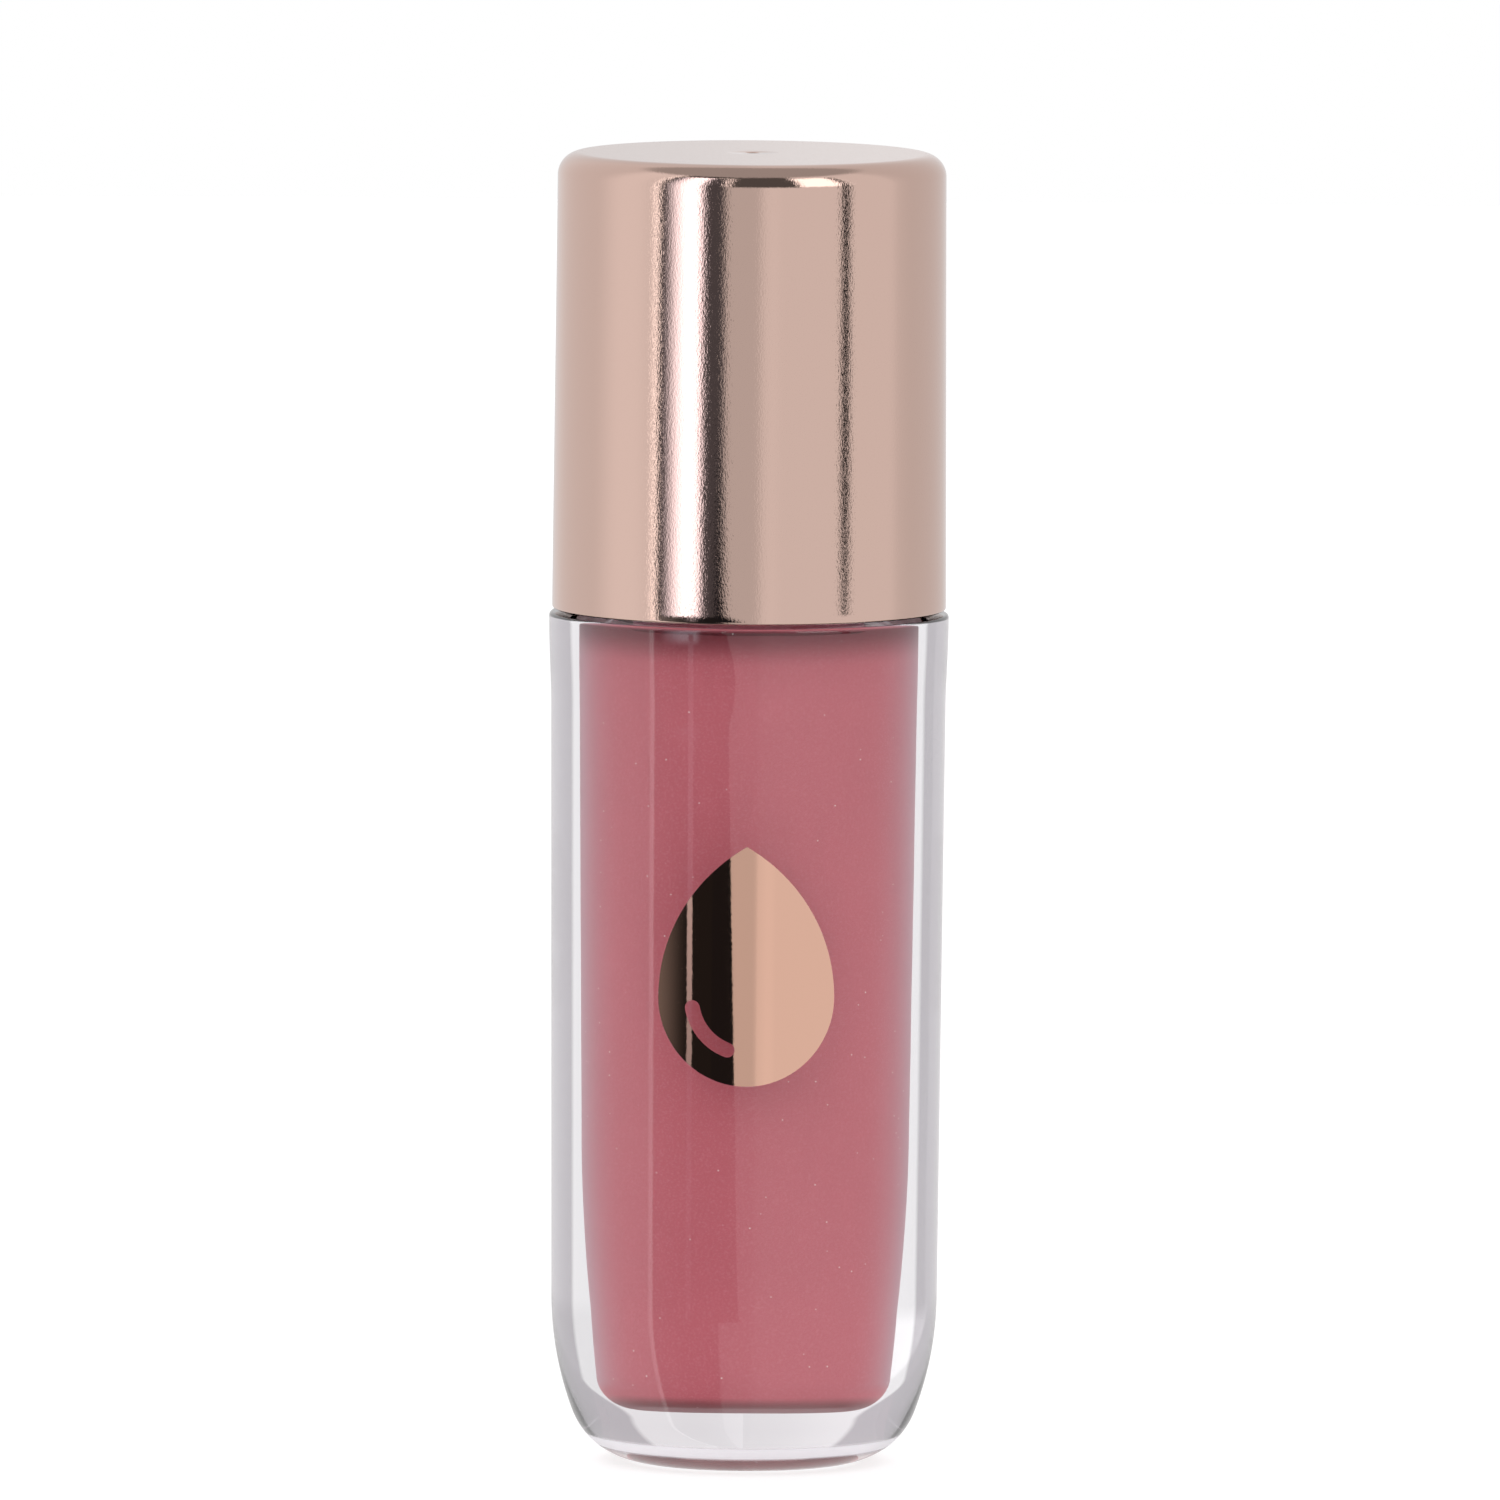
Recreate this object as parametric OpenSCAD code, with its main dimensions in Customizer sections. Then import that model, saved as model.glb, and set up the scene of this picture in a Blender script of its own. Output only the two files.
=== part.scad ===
// Lip gloss tube with a screw cap and wand applicator.
// Millimetres, +Z up, origin at the centre of the base. The front faces -Y.

/* [Bottle] */
// Outer radius of the bottle just above the rounded heel
body_base_r = 10.15; // [9.8:0.05:10.3]
// Outer radius of the bottle just under its shoulder
body_top_r = 10.4; // [10.3:0.05:11]
// How far the rim of the shoulder stands out from the wall
rim_out = 0.1; // [0.05:0.01:0.15]
// Height of the flat shoulder above the base
shoulder_z = 44.8; // [42:0.1:48]
// Radius of the flat area that the bottle stands on
foot_r = 5.2; // [4.5:0.1:6]
// Radius of the tight bend between the foot and the heel
heel_r = 4.1; // [3:0.1:4.3]
// Height at which the heel runs out into the wall
heel_z = 8.8; // [8:0.1:10]

/* [Cavity] */
// Radius of the gloss cavity just above its floor
cavity_base_r = 5.1; // [5:0.05:5.5]
// Radius of the gloss cavity where it starts to narrow towards its floor
cavity_waist_r = 5.7; // [5.6:0.05:5.8]
// Height of that point above the base
cavity_waist_z = 18; // [14:0.5:24]
// Radius of the gloss cavity under the shoulder
cavity_top_r = 5.9; // [5.85:0.05:6.2]
// Thickness of the heavy base under the gloss
floor_t = 3.9; // [3:0.1:5]
// Radius of the rounded corner around the cavity floor
cavity_corner_r = 1.4; // [0.5:0.1:2]
// Depth below the shoulder at which the cavity starts to slope in to the neck
roof_drop = 0.6; // [0.5:0.1:1]
// Level of the gloss, measured up from the start of that slope
fill_rise = 1; // [0.2:0.1:1]

/* [Neck] */
// Outer radius of the neck between the thread turns
neck_r = 6.1; // [6:0.05:6.3]
// Radius of the neck bore that the wiper sits in
neck_bore_r = 4.6; // [4.4:0.05:4.8]
// Height of the neck above the shoulder
neck_h = 9.7; // [9.5:0.1:11]
// Rise of the thread in one turn
pitch = 2.5; // [2.2:0.1:2.8]
// Turns of thread that the cap needs to come free
thread_turns = 1.25; // [1:0.25:1.5]
// How far each thread stands out from its wall
thread_h = 0.55; // [0.4:0.05:0.6]
// Radial gap between the crests of the two threads
thread_gap = 0.08; // [0.05:0.01:0.1]

/* [Cap] */
// Outer radius of the cap at its open end
cap_base_r = 10.35; // [10.2:0.05:10.5]
// Outer radius of the cap under its rounded top edge
cap_top_r = 10.2; // [10.1:0.05:10.4]
// Height of the cap
cap_h = 24; // [22:0.1:26]
// Radius of the cap's top edge
cap_edge_r = 1.2; // [0.5:0.05:1.5]
// Wall thickness of the outer cap
cap_wall = 0.9; // [0.8:0.05:1.2]
// Gap between the closed cap and the shoulder
seam = 0.2; // [0.1:0.05:0.4]

/* [Applicator] */
// Radius of the wand
rod_r = 1.95; // [1.8:0.05:2]
// Radius of the flocked tip
tip_r = 2.3; // [2.1:0.05:2.4]
// Thickness of the flocking
flock_t = 0.45; // [0.3:0.05:0.6]
// Length of the flocked tip
tip_l = 12; // [9:0.5:14]
// Gap between the tip and the cavity floor
tip_gap = 1.2; // [1:0.1:3]
// Slant of the flat face of the tip from the wand's axis
tip_slant = 22; // [15:1:30]

/* [Emblem] */
// Height of the emblem's centre above the base
emblem_z = 27.1; // [20:0.1:32]
// Radius of the drop's round end
drop_r = 4.6; // [3:0.1:5]
// Distance from the middle of the round end to the drop's point
drop_point = 8; // [7:0.1:9]
// Thickness of the foil
foil_t = 0.06; // [0.04:0.01:0.1]

/* [Hidden] */
$fn = 96;
eps = 0.01;
fit = 0.02;

// Levels up the closed tube
neck_top_z = shoulder_z + neck_h;
wiper_flange_t = 0.8;
seal_z = neck_top_z + wiper_flange_t;
seal_t = 1;
deck_z = seal_z + seal_t;
deck_t = 1.4;
cap_z = shoulder_z + seam;
cap_top_z = cap_z + cap_h;
cap_roof_z = cap_top_z - 1.2;
roof_z = shoulder_z - roof_drop;
bore_z = shoulder_z + 0.9;
fill_z = roof_z + fill_rise;
tip_z = floor_t + tip_gap;
tip_top_z = tip_z + tip_l;

// Threads
crest_w = 0.7;
flank_w = 0.45;
male_crest_r = neck_r + thread_h;
female_crest_r = male_crest_r + thread_gap;
female_root_r = female_crest_r + thread_h;
thread_start_z = shoulder_z + 3;

// Inner cap
liner_r = 9.1;
rib_count = 24;
rib_w = 0.8;
socket_r = 2.5;
socket_top_z = deck_z + 7;
tower_r = 4;

// Applicator
plug_r = socket_r;
plug_top_z = socket_top_z - 0.6;
collar_r = 3.1;
shank_r = 1.1;
shank_l = 5;
core_r = tip_r - flock_t;

// Wiper
sleeve_r = neck_bore_r - fit;
sleeve_t = 0.6;
orifice_r = rod_r + 0.05;
lip_z = shoulder_z + 0.6;
lip_top_z = shoulder_z + 3.6;

// Points along an arc from angle a0 to angle a1
function arc(x, y, r, a0, a1, n = 16) = [
    for (i = [0:n]) let (a = a0 + (a1 - a0) * i / n) [x + r * cos(a), y + r * sin(a)]
];

// Radius of the bottle's drafted wall at height z
function body_r(z) =
    body_base_r + (body_top_r - body_base_r) * (z - heel_z) / (shoulder_z - heel_z);

// The heel is a tight bend at the foot and a long bend up to the wall, tangent to each other
heel_run = body_base_r - foot_r;
heel_rise = heel_z - heel_r;
long_r = (heel_run ^ 2 + heel_rise ^ 2 - heel_r ^ 2) / (2 * (heel_run - heel_r));
meet = atan2(heel_r - heel_z, foot_r - body_base_r + long_r);

// Half outline of the bottle's outside, neck included
module bottle_outline() {
    rim_h = 0.3;
    rim_lead = 5;
    lead_z = shoulder_z - rim_h - rim_lead;
    rim_r = 0.2;
    root_r = 0.5;
    polygon(concat(
        [[0, 0]],
        arc(foot_r, heel_r, heel_r, -90, meet),
        arc(body_base_r - long_r, heel_z, long_r, meet, 0),
        [[body_r(lead_z), lead_z]],
        [[body_top_r + rim_out, shoulder_z - rim_h]],
        arc(body_top_r + rim_out - rim_r, shoulder_z - rim_r, rim_r, 0, 90, 8),
        arc(neck_r + root_r, shoulder_z + root_r, root_r, 270, 180, 8),
        arc(neck_r - 0.3, neck_top_z - 0.3, 0.3, 0, 90, 6),
        [[0, neck_top_z]]
    ));
}

// Radius of the cavity's sloping roof at height z
function roof_r(z) = cavity_top_r + (neck_bore_r - cavity_top_r) * (z - roof_z) / (bore_z - roof_z);

// Half outline of the cavity up to a level in its sloping roof, drawn in by "inset" for the
// gloss that fills it. Its wall follows the heel in one long arc below the waist.
module cavity_outline(top_z, inset = 0) {
    corner = cavity_corner_r;
    z = floor_t + inset;
    run = cavity_waist_r - cavity_base_r;
    drop = cavity_waist_z - z - corner;
    bend_r = (drop ^ 2 + run ^ 2) / (2 * run);
    waist_r = cavity_waist_r - inset;
    polygon(concat(
        [[0, z]],
        arc(waist_r - run - corner, z + corner, corner, -90, 0, 12),
        arc(waist_r - bend_r, cavity_waist_z, bend_r, -asin(drop / bend_r), 0),
        [[cavity_top_r - inset, roof_z], [roof_r(top_z) - inset, top_z], [0, top_z]]
    ));
}

// One thread flight that winds up a wall. side is 1 for a thread that stands out of
// a neck and -1 for one that stands into a cap. Both ends fade into the wall.
module thread(root, side, start_z, turns) {
    steps = round(turns * 30);
    bury = 0.25;
    function rise(i) = min(1, i / 4, (steps - i) / 4);
    function ring(i) =
        let (
            a = 360 * turns * i / steps,
            z = start_z + pitch * turns * i / steps,
            crest = root + side * thread_h * max(0.02, rise(i)),
            back = root - side * bury,
            half = crest_w / 2
        ) [
            [back * cos(a), back * sin(a), z - half - flank_w],
            [crest * cos(a), crest * sin(a), z - half],
            [crest * cos(a), crest * sin(a), z + half],
            [back * cos(a), back * sin(a), z + half + flank_w],
        ];
    points = [for (i = [0:steps]) each ring(i)];
    // a quad between corner j and the next corner, from ring i to ring i + 1
    function quad(i, j) =
        let (k = (j + 1) % 4, p = 4 * i)
        side > 0
            ? [p + j, p + k, p + 4 + k, p + 4 + j]
            : [p + 4 + j, p + 4 + k, p + k, p + j];
    last = 4 * steps;
    ends = side > 0
        ? [[3, 2, 1, 0], [last, last + 1, last + 2, last + 3]]
        : [[0, 1, 2, 3], [last + 3, last + 2, last + 1, last]];
    polyhedron(
        points = points,
        faces = concat([for (i = [0:steps - 1]) for (j = [0:3]) quad(i, j)], ends),
        convexity = 6
    );
}

// Clear heavy-walled bottle with its screw neck
module bottle() {
    color([0.94, 0.93, 0.95, 0.4])
    difference() {
        union() {
            rotate_extrude() bottle_outline();
            thread(neck_r, 1, thread_start_z, thread_turns + 0.25);
        }
        rotate_extrude() cavity_outline(bore_z);
        translate([0, 0, bore_z - eps]) cylinder(r = neck_bore_r, h = neck_h);
    }
}

// Gloss in the cavity, with the channel that the wand stands in
module gloss_fill() {
    channel_r = tip_r + 0.15;
    color([0.7, 0.4, 0.44])
    difference() {
        rotate_extrude() cavity_outline(fill_z, fit);
        translate([0, 0, tip_z + channel_r - 0.15]) {
            cylinder(r = channel_r, h = shoulder_z);
            sphere(r = channel_r);
        }
    }
}

// Soft wiper: a flange on the neck's lip, a sleeve in its bore and a cone that wipes the wand
module wiper() {
    cone_t = 0.5;
    bead = 0.25;
    color([0.95, 0.94, 0.92])
    rotate_extrude() polygon([
        [orifice_r, lip_z],
        [orifice_r + 0.35, lip_z],
        [sleeve_r - sleeve_t + cone_t, lip_top_z],
        [sleeve_r, lip_top_z + bead],
        [sleeve_r, neck_top_z + fit],
        [neck_r - bead, neck_top_z + fit],
        [neck_r - bead, seal_z - fit],
        [sleeve_r - sleeve_t, seal_z - fit],
        [sleeve_r - sleeve_t, lip_top_z + cone_t],
        [orifice_r, lip_z + 0.4],
    ]);
}

// Outline of a drop with its point up, centred on its height. The sides are two large
// arcs that leave the round end upright and meet at the point.
module drop_2d(r, point) {
    side_r = (point ^ 2 + r ^ 2) / (2 * r);
    sweep = asin(point / side_r);
    translate([0, (r - point) / 2])
    polygon(concat(
        arc(0, 0, r, 180, 360, 40),
        arc(r - side_r, 0, side_r, 0, sweep, 20),
        arc(side_r - r, 0, side_r, 180 - sweep, 180, 20)
    ));
}

// A curved slot with round ends, along an arc of radius r
module arc_slot_2d(r, width, start, end) {
    half = width / 2;
    function turned(a, from, to) = [
        for (p = arc(0, 0, half, from, to, 12)) p + r * [cos(a), sin(a)]
    ];
    polygon(concat(
        arc(0, 0, r + half, start, end, 24),
        turned(end, end, end + 180),
        arc(0, 0, r - half, end, start, 24),
        turned(start, start + 180, start + 360)
    ));
}

// Mirror foil stamped on the front of the bottle: a drop with a curved highlight
module foil_emblem() {
    reach = drop_r + drop_point;
    low = emblem_z - reach;
    high = emblem_z + reach;
    color([0.86, 0.64, 0.54])
    intersection() {
        rotate_extrude() polygon([
            [body_r(low) + fit / 2, low],
            [body_r(low) + fit / 2 + foil_t, low],
            [body_r(high) + fit / 2 + foil_t, high],
            [body_r(high) + fit / 2, high],
        ]);
        translate([0, -body_base_r / 2, emblem_z]) rotate([90, 0, 0])
        linear_extrude(height = body_top_r)
        difference() {
            drop_2d(drop_r, drop_point);
            translate([0, (drop_r - drop_point) / 2])
                arc_slot_2d(drop_r * 0.62, drop_r * 0.17, 190, 250);
        }
    }
}

// Soft ring that seals the cap against the wiper's flange
module neck_seal() {
    color([0.97, 0.97, 0.96])
    difference() {
        translate([0, 0, seal_z]) cylinder(r = neck_r - 0.1, h = seal_t - fit);
        translate([0, 0, seal_z - 1]) cylinder(r = collar_r + 0.1, h = seal_t + 2);
    }
}

// Metallised outer shell of the cap, with a moulding gate mark on its top
module outer_cap() {
    inner_top_r = cap_top_r - cap_wall;
    inner_base_r = cap_base_r - cap_wall;
    lead = 0.3;
    color([0.83, 0.68, 0.6])
    difference() {
        rotate_extrude() polygon(concat(
            [[0, cap_z], [cap_base_r - 0.15, cap_z], [cap_base_r, cap_z + 0.15]],
            arc(cap_top_r - cap_edge_r, cap_top_z - cap_edge_r, cap_edge_r, 0, 90, 12),
            [[0, cap_top_z]]
        ));
        rotate_extrude() polygon([
            [0, cap_z - 1],
            [inner_base_r + lead, cap_z - 1],
            [inner_base_r + lead, cap_z],
            [inner_base_r, cap_z + lead],
            [inner_top_r, cap_roof_z - 0.5],
            [inner_top_r - 0.5, cap_roof_z],
            [0, cap_roof_z],
        ]);
        translate([0, 0, cap_top_z - 0.12]) cylinder(r = 0.3, h = 1);
    }
}

// Inner cap: the threaded liner, its grip ribs, and the tower that holds the wand
module inner_cap() {
    lip_t = 0.3;
    color([0.93, 0.9, 0.89])
    difference() {
        union() {
            translate([0, 0, cap_z + lip_t])
                cylinder(r = liner_r, h = deck_z + deck_t - cap_z - lip_t);
            translate([0, 0, deck_z]) cylinder(r = tower_r, h = socket_top_z + 1 - deck_z);
            for (i = [0:3]) rotate(45 + 90 * i)
                translate([0, -rib_w / 2, deck_z + deck_t - 0.5])
                    cube([liner_r - 0.6, rib_w, cap_roof_z - fit - deck_z - deck_t + 0.5]);
            for (i = [0:rib_count - 1]) rotate(360 / rib_count * i)
                translate([liner_r - 0.3, -rib_w / 2, cap_z + 1.5])
                    cube([0.53, rib_w, deck_z - cap_z - 1]);
        }
        translate([0, 0, cap_z - 1]) cylinder(r = female_root_r, h = deck_z - cap_z + 1);
        translate([0, 0, deck_z - 1]) cylinder(r = socket_r, h = socket_top_z - deck_z + 1);
    }
    color([0.93, 0.9, 0.89])
    thread(female_root_r, -1, thread_start_z + pitch / 2, thread_turns);
}

// Wand, with the plug that snaps into the inner cap's socket
module applicator_rod() {
    color([0.92, 0.9, 0.9])
    difference() {
        union() {
            translate([0, 0, tip_top_z]) cylinder(r = rod_r, h = seal_z - tip_top_z + 0.2);
            translate([0, 0, seal_z + 0.1]) cylinder(r = collar_r, h = seal_t - 0.1 - fit);
            translate([0, 0, deck_z - 0.5])
                cylinder(r = plug_r - fit, h = plug_top_z - deck_z + 0.5);
        }
        translate([0, 0, tip_top_z - 1]) cylinder(r = shank_r + fit, h = shank_l + 1);
    }
}

// A round-ended stick whose last stretch is cut to a slanted face towards -Y
module doe_foot(r, setback) {
    intersection() {
        union() {
            translate([0, 0, tip_z + tip_r]) cylinder(r = r, h = tip_l - tip_r - fit);
            translate([0, 0, tip_z + tip_r]) sphere(r = r);
        }
        translate([0, -r * 0.55 + setback, tip_z]) rotate([tip_slant, 0, 0])
            translate([-tip_l, 0, -tip_l]) cube(2 * tip_l);
    }
}

// Flexible core of the applicator tip, with the shank that is pressed into the wand
module tip_core() {
    color([0.95, 0.93, 0.92])
    union() {
        doe_foot(core_r, flock_t);
        translate([0, 0, tip_top_z - 1]) cylinder(r = shank_r, h = shank_l + 0.8);
    }
}

// Short nylon fibres around the tip
module tip_flocking() {
    color([0.86, 0.66, 0.68])
    difference() {
        doe_foot(tip_r, 0);
        doe_foot(core_r + fit / 2, flock_t - fit / 2);
        translate([0, 0, tip_top_z - 1]) cylinder(r = core_r + fit / 2, h = 2);
    }
}

bottle();
gloss_fill();
wiper();
foil_emblem();
neck_seal();
outer_cap();
inner_cap();
applicator_rod();
tip_core();
tip_flocking();
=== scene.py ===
"""Looks for the lip gloss tube: clear bottle, pink gloss, foil mark, metallised cap and flocked wand."""
import math
import random

import bmesh
import bpy
from mathutils import Matrix, Vector


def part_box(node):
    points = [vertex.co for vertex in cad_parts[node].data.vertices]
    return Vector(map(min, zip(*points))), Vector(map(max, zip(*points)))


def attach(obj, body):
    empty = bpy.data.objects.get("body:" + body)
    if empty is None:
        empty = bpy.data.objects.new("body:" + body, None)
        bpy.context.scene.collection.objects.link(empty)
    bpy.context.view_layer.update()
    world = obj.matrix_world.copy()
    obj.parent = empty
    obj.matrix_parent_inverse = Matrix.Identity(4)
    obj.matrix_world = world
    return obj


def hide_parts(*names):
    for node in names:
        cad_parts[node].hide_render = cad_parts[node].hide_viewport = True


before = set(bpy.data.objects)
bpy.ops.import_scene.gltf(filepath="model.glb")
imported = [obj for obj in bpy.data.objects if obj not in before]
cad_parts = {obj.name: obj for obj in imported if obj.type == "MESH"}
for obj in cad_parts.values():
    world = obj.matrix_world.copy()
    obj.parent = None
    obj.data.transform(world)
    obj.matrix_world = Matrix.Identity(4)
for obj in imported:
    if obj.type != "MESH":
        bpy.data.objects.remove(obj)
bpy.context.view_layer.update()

MM = 0.001
TURN = 2 * math.pi

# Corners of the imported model's pieces. All lengths are in millimetres.
cap_lo, cap_hi = (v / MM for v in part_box("outer_cap"))
gloss_lo, gloss_hi = (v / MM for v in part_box("gloss_fill"))
tip_lo, tip_hi = (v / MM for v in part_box("tip_flocking"))
foil_lo, foil_hi = (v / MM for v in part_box("foil_emblem"))
bottle_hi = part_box("bottle")[1] / MM

# Shoulder: the gap under the cap, the small rim, and the flare of the wall that leads out to it
SEAM = 0.2
SHOULDER_Z = cap_lo.z - SEAM
RIM_OUT = 0.1
RIM_H = 0.3
RIM_LEAD = 5.0

# The bottle's drafted wall and rounded heel
BODY_TOP_R = bottle_hi.x - RIM_OUT
BODY_BASE_R = BODY_TOP_R - 0.25
FOOT_R = 5.2
HEEL_R = 4.1
HEEL_Z = 8.8

# The screw neck
NECK_TOP_Z = bottle_hi.z
NECK_R = 6.1
NECK_BORE_R = 4.6
PITCH = 2.5
THREAD_H = 0.55
THREAD_TURNS = 1.5
THREAD_Z = SHOULDER_Z + 3

# The gloss's cavity, from its floor to the neck's bore
FLOOR_Z = gloss_lo.z
CAVITY_CORNER_R = 1.4
CAVITY_BASE_R = 5.1
CAVITY_WAIST_R = 5.7
CAVITY_WAIST_Z = 18.0
CAVITY_TOP_R = 5.9
ROOF_Z = SHOULDER_Z - 0.6
BORE_Z = SHOULDER_Z + 0.9
FILL_Z = gloss_hi.z

# The wand
ROD_R = 1.95
TIP_R = tip_hi.x


# ---------------------------------------------------------------- node helpers


def node(tree, kind, inputs=None, **settings):
    """A new shader node. Input values that are sockets are linked, and the others are set."""
    made = tree.nodes.new(kind)
    for key, value in settings.items():
        setattr(made, key, value)
    for key, value in (inputs or {}).items():
        if isinstance(value, bpy.types.NodeSocket):
            tree.links.new(value, made.inputs[key])
        else:
            made.inputs[key].default_value = value
    return made


def math_node(tree, operation, a, b=0.0):
    return node(tree, "ShaderNodeMath", {0: a, 1: b}, operation=operation).outputs[0]


def times(tree, a, b):
    return math_node(tree, "MULTIPLY", a, b)


def minus(tree, a, b):
    return math_node(tree, "SUBTRACT", a, b)


def ramp(tree, value, low, high, out_low=0.0, out_high=1.0, smooth=True):
    """value eased from out_low at low to out_high at high."""
    return node(
        tree,
        "ShaderNodeMapRange",
        {"Value": value, "From Min": low, "From Max": high, "To Min": out_low, "To Max": out_high},
        interpolation_type="SMOOTHSTEP" if smooth else "LINEAR",
    ).outputs["Result"]


def mix(tree, share, a, b, kind="FLOAT"):
    """a where share is 0 and b where it is 1, for numbers or colours."""
    first = {"FLOAT": 2, "RGBA": 6}[kind]
    made = node(tree, "ShaderNodeMix", {0: share}, data_type=kind)
    for index, value in ((first, a), (first + 1, b)):
        if isinstance(value, bpy.types.NodeSocket):
            tree.links.new(value, made.inputs[index])
        else:
            made.inputs[index].default_value = value
    return made.outputs[{"FLOAT": 0, "RGBA": 2}[kind]]


def blend(tree, share, a, b):
    """Colour a where share is 0 and colour b where it is 1."""
    return mix(tree, share, a, b, "RGBA")


def split(tree, vector):
    """The x, y and z of a vector socket."""
    return node(tree, "ShaderNodeSeparateXYZ", {0: vector}).outputs


def azimuth_of(tree, x, y):
    """Angle about the upright axis in degrees: 0 is towards the camera, and positive is to its right."""
    front = times(tree, y, -1.0)
    return times(tree, math_node(tree, "ARCTAN2", x, front), 180 / math.pi)


def object_point(tree, scale=(1, 1, 1)):
    """The point's place in the row frame, in millimetres times scale."""
    place = node(tree, "ShaderNodeTexCoord").outputs["Object"]
    return node(
        tree, "ShaderNodeMapping", {"Vector": place, "Scale": [s / MM for s in scale]}
    ).outputs["Vector"]


def noise(tree, place, scale, detail=2.0, rough=0.5):
    return node(
        tree,
        "ShaderNodeTexNoise",
        {"Vector": place, "Scale": scale, "Detail": detail, "Roughness": rough},
    ).outputs["Fac"]


def glancing_share(tree):
    """0 where the surface faces the eye and 1 at its outline."""
    return node(tree, "ShaderNodeLayerWeight", {"Blend": 0.5}).outputs["Facing"]


def bump(tree, height, depth, normal=None):
    """A normal from a height between 0 and 1 that stands for depth, in millimetres."""
    inputs = {"Height": height, "Strength": 1.0, "Distance": depth * MM}
    if normal is not None:
        inputs["Normal"] = normal
    return node(tree, "ShaderNodeBump", inputs).outputs["Normal"]


def material(name, **values):
    """A new material, its node tree and its Principled node."""
    made = bpy.data.materials.new(name)
    made.use_nodes = True
    tree = made.node_tree
    shader = tree.nodes["Principled BSDF"]
    for key, value in values.items():
        shader.inputs[key.replace("_", " ")].default_value = value
    return made, tree, shader


def feed(tree, shader, **sockets):
    """Links sockets to the shader's inputs of the same names."""
    for key, socket in sockets.items():
        tree.links.new(socket, shader.inputs[key.replace("_", " ")])


# ------------------------------------------------------------------- materials


def clear_plastic():
    """Water-clear moulded plastic with faint flow waviness. Its tint is partly painted shade: grey where the
    wall turns away and dark in the heel's corner. It is also greyer on the heel and brownish on the base, and
    it is frosted on the foot and in a ring round it."""
    wall_tint = (0.985, 0.98, 1, 1)
    heel_tint = (0.91, 0.9, 0.93, 1)
    edge_painted_shade_tint = (0.345, 0.32, 0.355, 1)
    corner_painted_shade_tint = (0.08, 0.045, 0.07, 1)
    base_tint = (0.74, 0.62, 0.6, 1)
    ring_tint = (0.87, 0.85, 0.89, 1)
    foot_tint = (0.72, 0.68, 0.7, 1)
    polished = 0.015
    frosted = 0.4
    made, tree, shader = material(
        "clear_plastic",
        Base_Color=(0.985, 0.975, 0.99, 1),
        Roughness=polished,
        IOR=1.5,
        Transmission_Weight=1.0,
    )
    waviness = noise(tree, object_point(tree), 0.16, 1.0)
    glancing = glancing_share(tree)

    # How far the outward normal points down: 0 on the upright wall and 1 on the foot. The normal that a ray
    # meets from inside is turned over, and inward turns it back.
    geometry = node(tree, "ShaderNodeNewGeometry").outputs
    met_z = split(tree, geometry["Normal"])["Z"]
    inward = minus(tree, 1.0, times(tree, geometry["Backfacing"], 2.0))
    down = math_node(tree, "MAXIMUM", times(tree, times(tree, met_z, inward), -1.0), 0.0)

    # How squarely the wall faces the eye once its slope is taken out. Under the limit it counts as edge, and
    # the limit is wider on the heel.
    upright = math_node(tree, "SQRT", minus(tree, 1.04, times(tree, down, down)))
    squareness = math_node(tree, "DIVIDE", minus(tree, 1.0, glancing), upright)
    limit = ramp(tree, down, 0.225, 0.335, 0.445, 0.705)
    edge = ramp(tree, minus(tree, limit, squareness), -0.02, 0.02)

    heel = ramp(tree, down, 0.2, 0.4)
    # Painted shade: the heel's corner is tinted nearly black where it turns away from the eye.
    corner = times(tree, ramp(tree, glancing, 0.72, 0.8), ramp(tree, down, 0.36, 0.5))
    base = ramp(tree, down, 0.78, 0.87)
    ring = times(tree, ramp(tree, down, 0.6, 0.66), ramp(tree, down, 0.76, 0.82, 1, 0))
    foot = ramp(tree, down, 0.96, 0.99)
    tint = blend(tree, heel, wall_tint, heel_tint)
    # Painted shade: the wall is tinted grey where it turns away from the eye.
    tint = blend(tree, edge, tint, edge_painted_shade_tint)
    tint = blend(tree, corner, tint, corner_painted_shade_tint)
    tint = blend(tree, base, tint, base_tint)
    tint = blend(tree, ring, tint, ring_tint)
    tint = blend(tree, foot, tint, foot_tint)
    matt = math_node(tree, "MAXIMUM", ring, foot)
    feed(
        tree,
        shader,
        Base_Color=tint,
        Roughness=mix(tree, matt, polished, frosted),
        Transmission_Weight=mix(tree, matt, 1.0, 0.2),
        Normal=bump(tree, waviness, 0.015),
    )
    return made


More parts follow.
